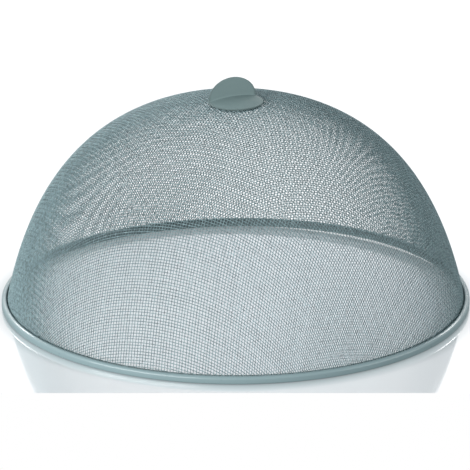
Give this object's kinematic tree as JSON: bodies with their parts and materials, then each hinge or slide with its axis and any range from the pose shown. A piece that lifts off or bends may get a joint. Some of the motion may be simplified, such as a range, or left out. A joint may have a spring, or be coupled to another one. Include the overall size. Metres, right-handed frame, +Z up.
{
  "type": "food cover",
  "caption": "Dome of woven wire cloth with a rolled sheet-metal rim and a folded round plate on the crown as its handle; it stands over a plate and keeps insects off the food.",
  "frame": {"origin": "centre of the ring that the cover stands on, in the plane of the table", "axes": "+Z up through the crown; -Y towards the viewer of the picture; +X to that viewer's right"},
  "size_m": [0.355, 0.355, 0.1768],
  "materials": {
    "cloth_paint": "semi-gloss grey-teal paint on steel wire",
    "rim_paint": "semi-gloss grey-teal paint on rolled steel strip",
    "plate_paint": "satin grey-teal paint on sheet steel",
    "backing_paint": "satin grey-teal paint on sheet steel"
  },
  "bodies": {
    "root": {"wire_mesh_dome": "cloth_paint", "rim_channel": "rim_paint", "handle_plate": "plate_paint", "backing_disc": "backing_paint"}
  },
  "joints": []
}
